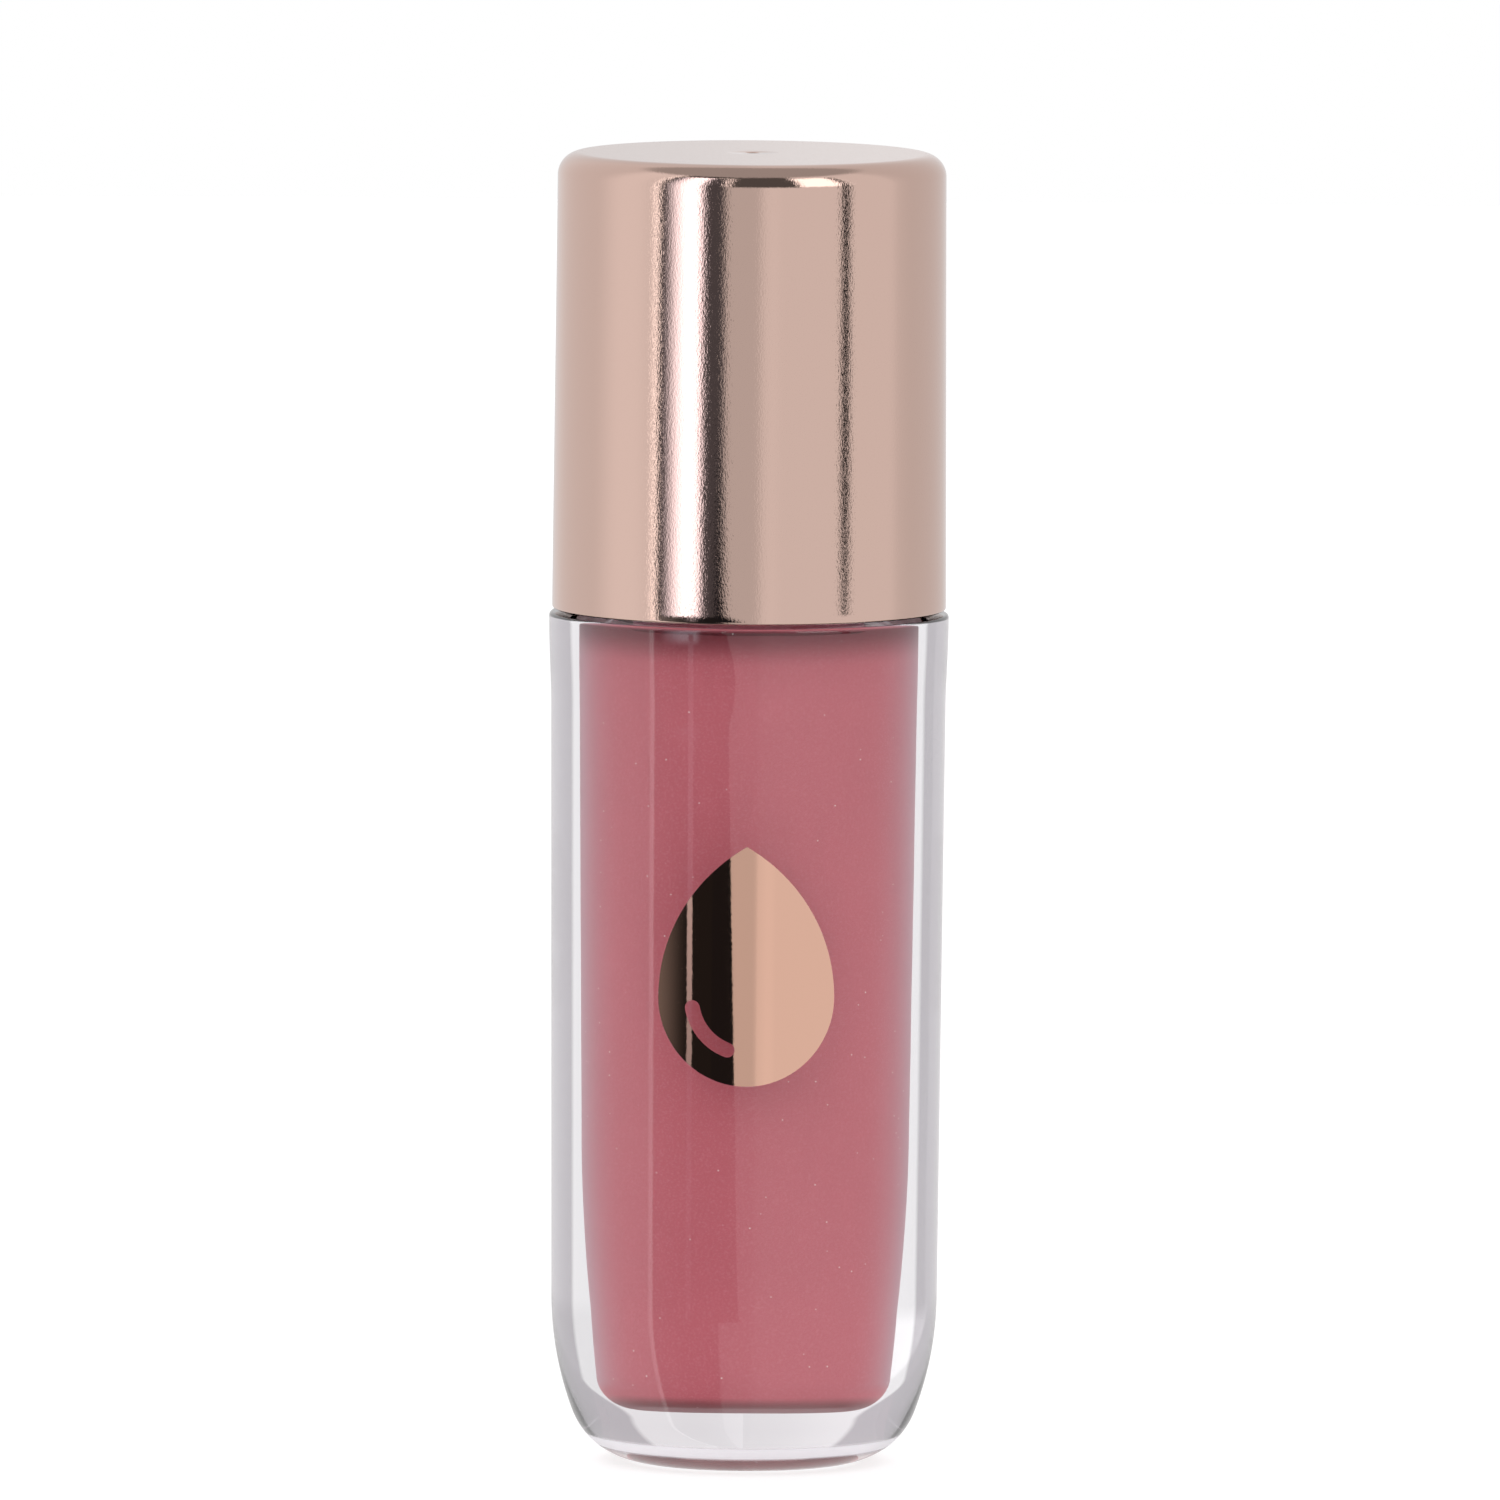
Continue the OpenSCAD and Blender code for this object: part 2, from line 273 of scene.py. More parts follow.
def pink_gloss():
    """Thick dusty pink gloss with slow tonal drift, fine pearl and sparse glitter flecks. A pale sheen is
    painted into its colour at its edges, and it is painted darker underneath and in the shoulder's shade."""
    deep = (0.73, 0.182, 0.222, 1)
    light = (0.79, 0.208, 0.25, 1)
    pearl_tint = (0.9, 0.37, 0.41, 1)
    painted_sheen_tint = (0.7, 0.5, 0.57, 1)
    painted_under_shade_tint = (0.2, 0.05, 0.05, 1)
    shade_tint = (0.12, 0.012, 0.018, 1)
    fleck_tint = (1.0, 0.8, 0.78, 1)
    made, tree, shader = material(
        "pink_gloss", Roughness=0.42, Specular_IOR_Level=0.25, Sheen_Roughness=0.4
    )
    place = object_point(tree)
    drift = noise(tree, place, 0.12, 2.0)
    pearl = noise(tree, place, 9.0, 2.0, 0.7)
    tone = blend(tree, drift, deep, light)
    tone = blend(tree, ramp(tree, pearl, 0.45, 0.75, 0, 0.3), tone, pearl_tint)

    normal = node(tree, "ShaderNodeNewGeometry").outputs["Normal"]
    down = times(tree, split(tree, normal)["Z"], -1.0)
    # Painted sheen: the colour is paled at the outline, less where the gloss faces down.
    painted_sheen_share = ramp(tree, glancing_share(tree), 0.3, 0.9, 0, 0.6)
    tone = blend(tree, times(tree, painted_sheen_share, ramp(tree, down, 0.15, 0.6, 1, 0)), tone, painted_sheen_tint)
    # Painted shade: darker where the gloss faces down.
    tone = blend(tree, ramp(tree, down, 0.6, 0.95, 0, 0.8), tone, painted_under_shade_tint)

    height = split(tree, place)["Z"]
    shade = ramp(tree, height, ROOF_Z - 1.7, ROOF_Z + 0.1, 0, 0.7)
    tone = blend(tree, shade, tone, shade_tint)

    # One cell in forty holds a fleck
    cells = node(tree, "ShaderNodeTexVoronoi", {"Vector": place, "Scale": 4.2})
    lottery = node(tree, "ShaderNodeSeparateColor", {"Color": cells.outputs["Color"]}).outputs[0]
    chosen = math_node(tree, "GREATER_THAN", lottery, 0.975)
    middle = ramp(tree, cells.outputs["Distance"], 0.12, 0.2, 1, 0)
    fleck = times(tree, chosen, middle)
    feed(
        tree,
        shader,
        Base_Color=blend(tree, fleck, tone, fleck_tint),
        Metallic=times(tree, fleck, 0.6),
        Normal=bump(tree, pearl, 0.004),
    )
    return made


def metal_film(name, tint, peel_depth, grain_depth, roughness):
    """A vacuum-metallised film: mirror-like, with lacquer orange peel and fine dust grain. It is worn off
    in a dark dot on the axis, where the cap's moulding gate was cut."""
    worn_tint = (0.13, 0.08, 0.07, 1)
    made, tree, shader = material(name, Metallic=1.0)
    place = object_point(tree)
    peel = noise(tree, place, 0.9, 1.0)
    grain = noise(tree, object_point(tree, (1, 1, 0.5)), 11.0, 2.0, 0.6)
    x, y = split(tree, place)[:2]
    off_axis = math_node(tree, "SQRT", math_node(tree, "ADD", times(tree, x, x), times(tree, y, y)))
    worn = ramp(tree, off_axis, 0.22, 0.36, 1, 0)
    feed(
        tree,
        shader,
        Base_Color=blend(tree, worn, tint, worn_tint),
        Normal=bump(tree, grain, grain_depth, bump(tree, peel, peel_depth)),
        Roughness=ramp(tree, grain, 0.3, 0.8, roughness * 0.7, roughness * 1.8),
    )
    return made


def moulded_plastic(name, tint, roughness, marks=0.004):
    """Plain moulded plastic with uneven tone and a faint spark-eroded skin. marks is the skin's depth."""
    made, tree, shader = material(name, Roughness=roughness)
    place = object_point(tree)
    skin = noise(tree, place, 6.0, 3.0, 0.6)
    drift = noise(tree, place, 0.35, 2.0)
    darker = tuple(c * 0.94 for c in tint[:3]) + (1,)
    feed(
        tree,
        shader,
        Base_Color=blend(tree, drift, darker, tint),
        Normal=bump(tree, skin, marks),
        Roughness=ramp(tree, skin, 0.3, 0.7, roughness * 0.85, roughness * 1.15),
    )
    return made


def foam_seal():
    """Closed-cell foam with visible pores."""
    pore_painted_shade_tint = (0.72, 0.7, 0.68, 1)
    skin_tint = (0.93, 0.92, 0.9, 1)
    made, tree, shader = material("foam_seal", Roughness=0.8)
    cells = node(tree, "ShaderNodeTexVoronoi", {"Vector": object_point(tree), "Scale": 5.0})
    # Painted shade: the pores are coloured darker than the skin between them.
    depth = ramp(tree, cells.outputs["Distance"], 0.0, 0.5)
    feed(
        tree,
        shader,
        Base_Color=blend(tree, depth, pore_painted_shade_tint, skin_tint),
        Normal=bump(tree, depth, 0.03),
    )
    return made


def wet_flock():
    """Nylon flock soaked with gloss."""
    soaked = (0.42, 0.1, 0.125, 1)
    drier = (0.62, 0.21, 0.235, 1)
    made, tree, shader = material(
        "wet_flock", Roughness=0.28, Coat_Weight=0.6, Coat_Roughness=0.08, Sheen_Weight=0.15
    )
    clump = noise(tree, object_point(tree), 3.0, 3.0, 0.7)
    feed(
        tree,
        shader,
        Base_Color=blend(tree, clump, soaked, drier),
        Normal=bump(tree, clump, 0.05),
    )
    return made


def gloss_film():
    """The wet film of gloss left on the wand."""
    thick = (0.46, 0.11, 0.135, 1)
    thin = (0.6, 0.2, 0.225, 1)
    made, tree, shader = material(
        "gloss_film", Roughness=0.12, Coat_Weight=0.8, Coat_Roughness=0.03
    )
    streak = noise(tree, object_point(tree, (1, 1, 0.35)), 1.6, 2.0)
    feed(
        tree,
        shader,
        Base_Color=blend(tree, streak, thick, thin),
        Normal=bump(tree, streak, 0.06),
    )
    return made


# -------------------------------------------------------------------- geometry


def arc(x, y, r, start, end, count):
    """Points along an arc, with the angles in degrees."""
    return [
        (
            x + r * math.cos(math.radians(start + (end - start) * i / count)),
            y + r * math.sin(math.radians(start + (end - start) * i / count)),
        )
        for i in range(count + 1)
    ]


def stretch(a, b, step):
    """Points from a to b, without b, no further apart than step."""
    count = max(1, math.ceil(math.dist(a, b) / step))
    return [(a[0] + (b[0] - a[0]) * i / count, a[1] + (b[1] - a[1]) * i / count) for i in range(count)]


def add_piece(name, form):
    """A new object in the scene from a bmesh, which is freed."""
    mesh = bpy.data.meshes.new(name)
    form.to_mesh(mesh)
    form.free()
    piece = bpy.data.objects.new(name, mesh)
    bpy.context.scene.collection.objects.link(piece)
    return piece


def smooth(piece, angle=40):
    """Smooth shading with creases over angle kept sharp."""
    piece.data.shade_smooth()
    piece.data.set_sharp_from_angle(angle=math.radians(angle))


def lathe(name, outline, segments=192, shift=None):
    """A closed solid turned from a half outline that starts and ends on the axis, or that is a closed loop
    off it. shift(r, z, angle) gives another radius for a point."""
    form = bmesh.new()
    rows = []
    for r, z in outline:
        if r < 1e-6:
            rows.append([form.verts.new((0, 0, z * MM))])
            continue
        row = []
        for i in range(segments):
            a = TURN * i / segments
            radius = shift(r, z, a) if shift else r
            row.append(form.verts.new((radius * MM * math.cos(a), radius * MM * math.sin(a), z * MM)))
        rows.append(row)
    loop = len(rows[0]) > 1
    pairs = list(zip(rows, rows[1:])) + ([(rows[-1], rows[0])] if loop else [])
    for a, b in pairs:
        for i in range(segments):
            k = (i + 1) % segments
            corners = [a[i % len(a)], a[k % len(a)], b[k % len(b)], b[i % len(b)]]
            unique = list(dict.fromkeys(corners))
            if len(unique) > 2:
                form.faces.new(unique)
    bmesh.ops.recalc_face_normals(form, faces=form.faces)
    piece = add_piece(name, form)
    smooth(piece)
    return piece


def finish_piece(piece, body, slot, look, *nodes):
    """Gives a new piece its material and body, and hides the CAD nodes that it stands for. Its slot argument
    is not used.
    """
    piece.data.materials.clear()
    piece.data.materials.append(look)
    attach(piece, body)
    if nodes:
        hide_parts(*nodes)
    return piece


def body_radius(z):
    """Radius of the bottle's drafted wall at height z."""
    share = (z - HEEL_Z) / (SHOULDER_Z - HEEL_Z)
    return BODY_BASE_R + (BODY_TOP_R - BODY_BASE_R) * share


def thread_bump(z, angle):
    """How far the neck's thread stands out at height z and an angle round the neck."""
    half_crest = 0.35
    flank = 0.45
    fade = 0.13
    out = 0.0
    for wrap in range(-1, math.ceil(THREAD_TURNS) + 1):
        turns = angle / TURN + wrap
        if 0 <= turns <= THREAD_TURNS:
            away = abs(z - THREAD_Z - PITCH * turns)
            flight = 1 - min(1, max(0, (away - half_crest) / flank))
            ease = min(1, turns / fade, (THREAD_TURNS - turns) / fade)
            out = max(out, THREAD_H * flight * ease)
    return out


def neck_shift(r, z, angle):
    """The neck's outer wall with its thread."""
    on_neck = abs(r - NECK_R) < 0.01
    return r + thread_bump(z, angle) if on_neck else r


def cavity_wall(wet):
    """Half outline of the gloss cavity from the middle of its floor up to the start of its roof, pushed
    "wet" into the wall. Below the waist it follows the heel in one long arc."""
    floor_z = FLOOR_Z - wet
    corner_r = CAVITY_CORNER_R
    run = CAVITY_WAIST_R - CAVITY_BASE_R
    drop = CAVITY_WAIST_Z - floor_z - corner_r
    bend_r = (drop**2 + run**2) / (2 * run)
    sweep = math.degrees(math.asin(drop / bend_r))
    waist_r = CAVITY_WAIST_R + wet
    top = (CAVITY_TOP_R + wet, ROOF_Z)
    wall = [(0, floor_z), (2, floor_z)]
    wall += arc(waist_r - run - corner_r, floor_z + corner_r, corner_r, -90, 0, 14)
    wall += arc(waist_r - bend_r, CAVITY_WAIST_Z, bend_r, -sweep, 0, 24)[1:]
    wall += stretch((waist_r, CAVITY_WAIST_Z), top, 2.0)[1:]
    return wall + [top]


def bottle_outline():
    """Half outline of the bottle, from the middle of its foot, up the outside and down the inside."""
    rim_r = 0.2
    root_r = 0.5
    lip_r = 0.3
    bore_edge = 0.2
    out_r = BODY_TOP_R + RIM_OUT

    # The heel's tight arc runs into a long one that meets the wall
    run = BODY_BASE_R - FOOT_R
    rise = HEEL_Z - HEEL_R
    long_r = (run**2 + rise**2 - HEEL_R**2) / (2 * (run - HEEL_R))
    meet = math.degrees(math.atan2(HEEL_R - HEEL_Z, FOOT_R - BODY_BASE_R + long_r))
    outside = [(0, 0)] + stretch((0.4, 0), (FOOT_R, 0), 0.8)
    outside += arc(FOOT_R, HEEL_R, HEEL_R, -90, meet, 26)
    outside += arc(BODY_BASE_R - long_r, HEEL_Z, long_r, meet, 0, 24)[1:]

    # The wall flares out smoothly to the shoulder's rim
    flare_steps = 10
    lead_z = SHOULDER_Z - RIM_H - RIM_LEAD
    lead_r = body_radius(lead_z)
    outside += stretch((BODY_BASE_R, HEEL_Z), (lead_r, lead_z), 2.0)[1:]
    for i in range(flare_steps + 1):
        share = i / flare_steps
        flare = share * share * (3 - 2 * share)
        outside.append((lead_r + (out_r - lead_r) * flare, lead_z + RIM_LEAD * share))

    # Rim, shoulder, and the neck in steps fine enough for its thread
    outside += arc(out_r - rim_r, SHOULDER_Z - rim_r, rim_r, 0, 90, 10)
    outside += arc(NECK_R + root_r, SHOULDER_Z + root_r, root_r, 270, 180, 8)
    outside += stretch((NECK_R, SHOULDER_Z + root_r + 0.1), (NECK_R, NECK_TOP_Z - lip_r), 0.11)
    outside += arc(NECK_R - lip_r, NECK_TOP_Z - lip_r, lip_r, 0, 90, 8)

    inside = arc(NECK_BORE_R + bore_edge, NECK_TOP_Z - bore_edge, bore_edge, 90, 180, 4)
    inside += [(NECK_BORE_R, BORE_Z + 0.2), (NECK_BORE_R + 0.08, BORE_Z)]
    inside += [(CAVITY_TOP_R - 0.15, ROOF_Z + 0.2)]
    return outside + inside + list(reversed(cavity_wall(0.0)))


def make_bottle():
    piece = lathe("bottle_clear", bottle_outline(), 256, neck_shift)
    return finish_piece(piece, "bottle", "clear_plastic", clear_plastic(), "bottle")


def make_gloss():
    """The gloss wets the wall, so it reaches a hair into it and curls up at its surface. The wand stands in
    a channel."""
    wet = 0.03
    gap = 0.15
    sag = 0.22
    channel = TIP_R + gap
    channel_z = tip_lo.z - gap
    top_r = CAVITY_TOP_R + wet
    roof_slope = (CAVITY_TOP_R - NECK_BORE_R) / (BORE_Z - ROOF_Z)
    rim_r = top_r - roof_slope * (FILL_Z - ROOF_Z)
    outline = cavity_wall(wet)
    outline += stretch((top_r, ROOF_Z), (rim_r, FILL_Z), 0.3)[1:]
    outline += [(rim_r, FILL_Z), (rim_r - 0.15, FILL_Z - 0.08), (rim_r - 0.6, FILL_Z - sag)]
    outline += [(channel + 0.5, FILL_Z - sag), (channel + 0.1, FILL_Z - 0.1), (channel, FILL_Z - 0.2)]
    outline += stretch((channel, FILL_Z - 1), (channel, channel_z + channel), 4.0)
    outline += arc(0, channel_z + channel, channel, 0, -90, 10)[:-1] + [(0, channel_z)]
    piece = lathe("gloss_body", outline, 128)
    return finish_piece(piece, "bottle", "gloss", pink_gloss(), "gloss_fill")


def make_cap():
    """The outer cap: a drafted shell, a rounded top edge and a small gate mark."""
    base_r = cap_hi.x
    top_r = base_r - 0.15
    wall = 0.9
    roof_t = 1.2
    edge_r = 1.2
    foot_r = 0.15
    lead = 0.3
    gate_r = 0.3
    inner_r = 0.5
    top = cap_hi.z
    bottom = cap_lo.z
    roof = top - roof_t
    outline = arc(base_r - foot_r, bottom + foot_r, foot_r, -90, 0, 6)
    outline += stretch((base_r, bottom + 0.5), (top_r, top - edge_r), 1.5)
    outline += arc(top_r - edge_r, top - edge_r, edge_r, 0, 90, 20)
    outline += stretch((top_r - edge_r - 0.4, top), (gate_r + 0.25, top), 1.0)
    outline += [(gate_r + 0.1, top - 0.005), (gate_r, top - 0.04), (gate_r * 0.8, top - 0.1)]
    outline += [(gate_r * 0.5, top - 0.12), (0, top - 0.11)]
    inner = [(0, roof), (3, roof), (top_r - wall - inner_r, roof)]
    inner += arc(top_r - wall - inner_r, roof - inner_r, inner_r, 90, 0, 6)[1:]
    inner += [(base_r - wall, bottom + lead), (base_r - wall + lead, bottom)]
    piece = lathe("cap_shell", inner + outline, 256)
    look = metal_film(
        "rose_gold_film",
        (0.605, 0.435, 0.37, 1),
        peel_depth=0.001,
        grain_depth=0.0042,
        roughness=0.055,
    )
    return finish_piece(piece, "cap", "metallised", look, "outer_cap")


def drop_outline(r, point):
    """Outline of a drop, point up, centred on its height. Its sides are two large arcs."""
    side_r = (point**2 + r**2) / (2 * r)
    sweep = math.degrees(math.asin(point / side_r))
    drop = arc(0, 0, r, 180, 360, 48)[:-1]
    drop += arc(r - side_r, 0, side_r, 0, sweep, 28)[:-1]
    drop += arc(side_r - r, 0, side_r, 180 - sweep, 180, 28)[:-1]
    return [(x, y + (r - point) / 2) for x, y in drop]


def slot_outline(r, width, start, end, lift):
    """Outline of a curved slot with round ends along an arc of radius r."""
    half = width / 2

    def turned(at, first, last):
        a = math.radians(at)
        return [(x + r * math.cos(a), y + r * math.sin(a)) for x, y in arc(0, 0, half, first, last, 10)]

    slot = arc(0, 0, r + half, start, end, 20)[:-1] + turned(end, end, end + 180)[:-1]
    slot += arc(0, 0, r - half, end, start, 20)[:-1] + turned(start, start + 180, start + 360)[:-1]
    return [(x, y + lift) for x, y in slot]


def make_foil():
    """The foil drop, cut flat with its highlight slot and then laid on the bottle's drafted wall."""
    step = 0.06
    lift = 0.02
    thickness = 0.05
    r = foil_hi.x
    height = foil_hi.z - foil_lo.z
    point = height - r
    middle_z = (foil_lo.z + foil_hi.z) / 2
    slot = slot_outline(r * 0.62, r * 0.17, 190, 250, (r - point) / 2)
    form = bmesh.new()
    for loop in (drop_outline(r, point), slot):
        corners = [form.verts.new((x, 0, y)) for x, y in loop]
        for a, b in zip(corners, corners[1:] + corners[:1]):
            form.edges.new((a, b))
    bmesh.ops.triangle_fill(form, edges=form.edges[:], use_beauty=True, normal=(0, -1, 0))
    for i in range(-int(r / step), int(r / step) + 1):
        everything = form.verts[:] + form.edges[:] + form.faces[:]
        bmesh.ops.bisect_plane(form, geom=everything, plane_co=(i * step, 0, 0), plane_no=(1, 0, 0))
    for v in form.verts:
        z = middle_z + v.co.z
        wall = body_radius(z) + lift
        v.co = Vector((v.co.x, -math.sqrt(wall**2 - v.co.x**2), z)) * MM
    bmesh.ops.solidify(form, geom=form.faces[:], thickness=-thickness * MM)
    bmesh.ops.recalc_face_normals(form, faces=form.faces)
    piece = add_piece("foil_drop", form)
    smooth(piece)
    look = metal_film(
        "rose_gold_foil",
        (0.69, 0.425, 0.32, 1),
        peel_depth=0.0005,
        grain_depth=0.0004,
        roughness=0.03,
    )
    return finish_piece(piece, "bottle", "foil", look, "foil_emblem")


def make_wand_film():
    """The uneven film of gloss that the wiper leaves on the wand."""
    film_top = ROOF_Z - 1.5
    film_foot = tip_hi.z
    fade_length = 8

    def uneven(r, z, angle):
        if r < ROD_R:
            return r
        wave = math.sin(3 * angle + 0.9 * z) + math.sin(5 * angle - 1.7 * z + 1) + math.sin(0.8 * z)
        fade = min(1, (film_top - z) / fade_length)
        return ROD_R + 0.012 + (0.03 + 0.012 * wave) * max(0, fade)

    outline = [(ROD_R - 0.1, film_foot - 0.05)]
    outline += stretch((ROD_R + 0.01, film_foot), (ROD_R + 0.01, film_top), 0.35)
    outline += [(ROD_R - 0.1, film_top + 0.05)]
    piece = lathe("wand_film", outline, 64, uneven)
    return finish_piece(piece, "cap", "gloss", gloss_film())


def doe_foot_point(r, z, angle):
    """A point of the tip's skin: a round-ended stick with a slanted face towards -Y."""
    slant = math.radians(22)
    x = r * math.cos(angle)
    y = r * math.sin(angle)
    face_y = -TIP_R * 0.55 + (z - tip_lo.z) * -math.tan(slant)
    return Vector((x, max(y, face_y), z))


def flock_core(segments):
    """The tip's soft lumpy body."""
    body_r = TIP_R - 0.12
    end_z = tip_lo.z + TIP_R
    rows = []
    for angle in range(88, 0, -6):
        a = math.radians(angle)
        rows.append((body_r * math.cos(a), end_z - body_r * math.sin(a)))
    rows += stretch((body_r, end_z), (body_r, tip_hi.z - 0.3), 0.3)
    rows += [(body_r - 0.05, tip_hi.z - 0.12), (body_r - 0.3, tip_hi.z)]
    form = bmesh.new()
    grid = []
    for r, z in rows:
        ring = []
        for i in range(segments):
            a = TURN * i / segments
            lump = 0.04 * math.sin(4 * a + 2.3 * z) * math.sin(3.1 * z) + random.uniform(-0.025, 0.025)
            ring.append(form.verts.new(doe_foot_point(r + lump, z, a) * MM))
        grid.append(ring)
    for a, b in zip(grid, grid[1:]):
        for i in range(segments):
            k = (i + 1) % segments
            form.faces.new((a[i], a[k], b[k], b[i]))
    form.faces.new(list(reversed(grid[0])))
    form.faces.new(grid[-1])
    bmesh.ops.recalc_face_normals(form, faces=form.faces)
    form.normal_update()
    return form


def make_flocking():
    """The flocked tip: a soft body with short fibres in wet clumps."""
    fibre_count = 2600
    fibre_r = 0.03
    shortest, longest = 0.1, 0.2
    random.seed(7)
    form = flock_core(56)
    skin = [f for f in form.faces if len(f.verts) == 4]
    roots = []
    for _ in range(fibre_count):
        f = random.choice(skin)
        a, b = random.random(), random.random()
        low = f.verts[0].co.lerp(f.verts[1].co, a)
        high = f.verts[3].co.lerp(f.verts[2].co, a)
        lean = Vector((random.uniform(-0.5, 0.5), random.uniform(-0.5, 0.5), random.uniform(-0.9, 0.1)))
        roots.append((low.lerp(high, b), (f.normal + lean * 0.8).normalized()))
    for root, way in roots:
        side = way.orthogonal().normalized()
        across = way.cross(side)
        base = []
        for t in (0, TURN / 3, 2 * TURN / 3):
            spread = (side * math.cos(t) + across * math.sin(t)) * fibre_r * MM
            base.append(form.verts.new(root - way * fibre_r * MM + spread))
        end = form.verts.new(root + way * random.uniform(shortest, longest) * MM)
        for i in range(3):
            form.faces.new((base[i], base[(i + 1) % 3], end))
        form.faces.new(list(reversed(base)))
    piece = add_piece("tip_flock", form)
    smooth(piece, 60)
    return finish_piece(piece, "cap", "flock", wet_flock(), "tip_flocking")


def dress(name, look):
    """Gives a CAD node its finished material."""
    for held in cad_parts[name].material_slots:
        held.material = look


# ----------------------------------------------------------------------- stage


def studio():
    """Soft white room in windows of azimuth and height, in degrees. The camera sees plain white."""
    world = bpy.data.worlds.new("studio")
    bpy.context.scene.world = world
    world.use_nodes = True
    tree = world.node_tree
    tree.nodes.clear()
    x, y, z = split(tree, node(tree, "ShaderNodeTexCoord").outputs["Generated"])
    azimuth = azimuth_of(tree, x, y)
    height = times(tree, math_node(tree, "ARCSINE", z), 180 / math.pi)
    rays = node(tree, "ShaderNodeLightPath").outputs

    def band(level, low, high, brightness, soft=1.0, bottom=-90, top=90, tall=4.0):
        """level with another brightness in a window. It fades over soft at its sides, tall at its ends."""
        rising = ramp(tree, azimuth, low - soft, low + soft)
        inside = times(tree, rising, ramp(tree, azimuth, high - soft, high + soft, 1, 0))
        if bottom > -90:
            inside = times(tree, inside, ramp(tree, height, bottom - tall, bottom + tall))
        if top < 90:
            inside = times(tree, inside, ramp(tree, height, top - tall, top + tall, 1, 0))
        return mix(tree, inside, level, brightness)

    # Left wall, its bright edge, the dark doorway beside the camera, and the grey and white walls to its
    # right. The doorway darkens the diffuse light less.
    level = ramp(tree, azimuth, -180, -150, 0.8, 0.92)
    level = band(level, -95, -62, 1.12, soft=12)
    level = band(level, -59.6, -56.6, 2.1, soft=0.7)
    doorway = ramp(tree, azimuth, -58, -34, 0.22, 0.018)
    doorway = mix(tree, rays["Is Diffuse Ray"], doorway, 0.6)
    level = band(level, -56.5, -15.3, doorway, soft=0.8)
    level = band(level, -15.3, 6, 0.76, soft=0.8)
    level = band(level, 6, 95, 1.0, soft=3.0)
    level = band(level, 10, 16, 1.04, soft=2.0)
    level = band(level, 100, 179, 0.82, soft=12)

    # Two softboxes above the camera with a dark gap between them
    level = band(level, -54, -14, 2.6, soft=1.5, bottom=8, top=48)
    level = band(level, -14, 29, 0.12, soft=1.0, bottom=6, top=66)
    level = band(level, 29, 61, 2.4, soft=1.5, bottom=8, top=48)

    # A backdrop behind the tube, low down, for the first reflection only, and a darker ceiling
    direct = math_node(tree, "LESS_THAN", rays["Ray Depth"], 1.5)
    behind = times(tree, direct, ramp(tree, y, 0.93, 0.98))
    backdrop = times(tree, behind, ramp(tree, height, 14, 24, 1, 0))
    level = mix(tree, backdrop, level, 1.03)
    overhead = times(tree, rays["Is Glossy Ray"], ramp(tree, height, 52, 60))
    level = mix(tree, overhead, level, 0.5)

    seen = rays["Is Camera Ray"]
    strength = mix(tree, seen, level, 1.0)
    tint = blend(tree, backdrop, (1, 0.985, 0.99, 1), (0.99, 0.97, 1.06, 1))
    glow = node(tree, "ShaderNodeBackground", {"Color": tint, "Strength": strength})
    white = node(tree, "ShaderNodeBackground", {"Color": (1, 1, 1, 1), "Strength": 1.0})
    both = node(tree, "ShaderNodeMixShader", {0: seen, 1: glow.outputs[0], 2: white.outputs[0]})
    node(tree, "ShaderNodeOutputWorld", {"Surface": both.outputs[0]})


CARD_REACH = 300.0


def card(name, foot, head, strength):
    """A reflection card at arm's length that only mirror rays see. foot and head are each a height and the
    azimuths of the card's two corners there. strength(tree, across, up) gives its brightness from the
    place across it in degrees and its height, and the share of it that is solid."""
    middle = math.radians((foot[1] + foot[2] + head[1] + head[2]) / 4)
    way = Vector((math.sin(middle), -math.cos(middle), 0))
    side = Vector((math.cos(middle), math.sin(middle), 0))

    def corner(azimuth, z):
        across = math.tan(math.radians(azimuth) - middle) * CARD_REACH
        return (way * CARD_REACH + side * across + Vector((0, 0, z))) * MM

    form = bmesh.new()
    spots = [(foot[1], foot[0]), (foot[2], foot[0]), (head[2], head[0]), (head[1], head[0])]
    form.faces.new([form.verts.new(corner(azimuth, z)) for azimuth, z in spots])
    made = add_piece(name, form)
    look = bpy.data.materials.new(name)
    look.use_nodes = True
    tree = look.node_tree
    tree.nodes.clear()
    x, y, up = split(tree, object_point(tree))
    brightness, solid = strength(tree, azimuth_of(tree, x, y), up)
    glow = node(tree, "ShaderNodeEmission", {"Color": (1, 1, 1.12, 1), "Strength": brightness})
    clear = node(tree, "ShaderNodeBsdfTransparent")
    both = node(tree, "ShaderNodeMixShader", {0: solid, 1: clear.outputs[0], 2: glow.outputs[0]})
    node(tree, "ShaderNodeOutputMaterial", {"Surface": both.outputs[0]})
    made.data.materials.append(look)
    made.visible_camera = False
    made.visible_diffuse = False
    made.visible_transmission = False
    made.visible_shadow = False


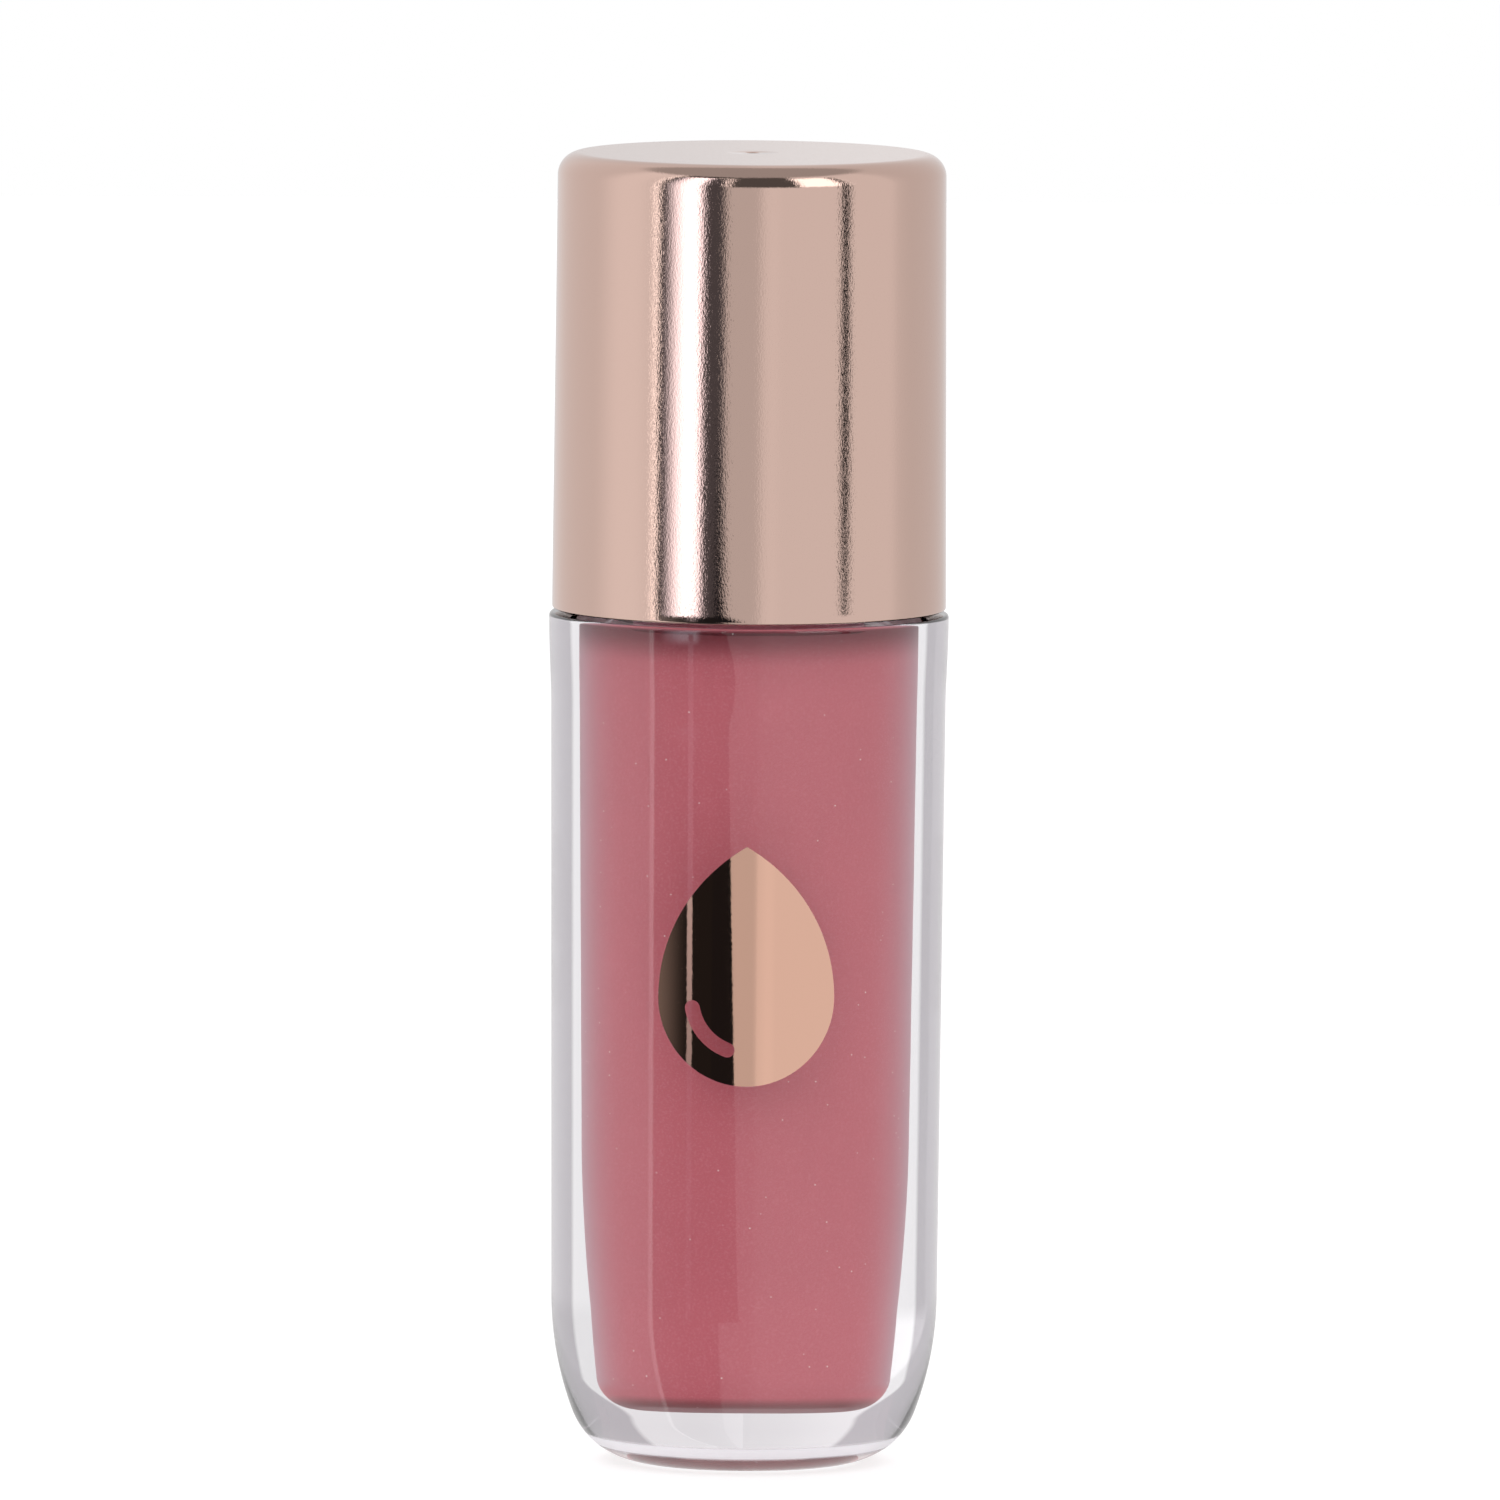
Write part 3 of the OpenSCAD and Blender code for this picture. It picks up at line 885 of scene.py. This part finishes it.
def cards():
    """Cards close to the tube. The strip light and the thin flag stand above the height that the shoulder
    mirrors to the camera, so they show in the cap. The other two show in the bottle."""
    mirrored_z = SHOULDER_Z - CARD_REACH * math.tan(math.radians(5.3))
    high = 400
    low = -40

    def strip(tree, across, up):
        left = ramp(tree, across, -51.5, -39.5, smooth=False)
        right = ramp(tree, across, -31.3, -26.5, 1, 0)
        lit = times(tree, left, right)
        return mix(tree, lit, 0.1, 2.6), ramp(tree, up, mirrored_z - 10, mirrored_z - 3)

    def thin_flag(tree, across, up):
        return 0.02, ramp(tree, up, 14, 26)

    def strip_foot(tree, across, up):
        return ramp(tree, up, -30, 14, 0.25, 0.8), 1.0

    def slanted_flag(tree, across, up):
        return 0.015, 1.0

    card("strip_card", (mirrored_z - 10, -55, -16), (high, -55, -16), strip)
    card("flag_card", (mirrored_z - 4, 54.3, 59.3), (high, 54.3, 59.3), thin_flag)
    card("strip_foot_card", (low, -34.7, -31.6), (mirrored_z, -34.7, -31.6), strip_foot)
    card("slanted_flag", (low, -20, -1.5), (29, -20, -15.3), slanted_flag)


def floor():
    """A pale floor that the tube stands on. Its glow keeps it as light as the room."""
    thickness = 4
    radius = 900
    piece = lathe("floor", [(0, -thickness), (radius, -thickness), (radius, 0), (0, 0)], 96)
    look, tree, shader = material("floor_white", Base_Color=(0.3, 0.3, 0.3, 1), Roughness=0.7)
    shader.inputs["Emission Color"].default_value = (1, 1, 1, 1)
    shader.inputs["Emission Strength"].default_value = 0.76
    piece.data.materials.append(look)
    piece.visible_glossy = False
    piece.visible_transmission = False


def camera():
    """A long lens a little above the tube's middle, as tilted as a hand-held product shot."""
    frame_mm = 78.85
    distance = 1500.0
    elevation = math.radians(5.33)
    roll = math.radians(0.42)
    target = Vector((0.105, 0, 37.52)) * MM
    data = bpy.data.cameras.new("camera")
    data.sensor_width = 36
    data.lens = data.sensor_width * distance / frame_mm
    data.clip_start = 0.05
    data.clip_end = 10
    made = bpy.data.objects.new("camera", data)
    bpy.context.scene.collection.objects.link(made)
    back = Vector((0, -math.cos(elevation), math.sin(elevation)))
    turned = (-back).to_track_quat("-Z", "Y").to_matrix().to_4x4() @ Matrix.Rotation(roll, 4, "Z")
    made.matrix_world = Matrix.Translation(target + back * distance * MM) @ turned
    bpy.context.scene.camera = made


bpy.context.scene.view_settings.view_transform = "Standard"
camera()
studio()
floor()
cards()
make_bottle()
make_gloss()
make_foil()
make_cap()
make_wand_film()
make_flocking()
dress("wiper", moulded_plastic("soft_polyethylene", (0.86, 0.84, 0.8, 1), 0.42))
dress("neck_seal", foam_seal())
dress("inner_cap", moulded_plastic("natural_polypropylene", (0.85, 0.82, 0.8, 1), 0.38))
wand_plastic = moulded_plastic("wand_polypropylene", (0.86, 0.83, 0.82, 1), 0.25, 0.002)
dress("applicator_rod", wand_plastic)
dress("tip_core", wand_plastic)
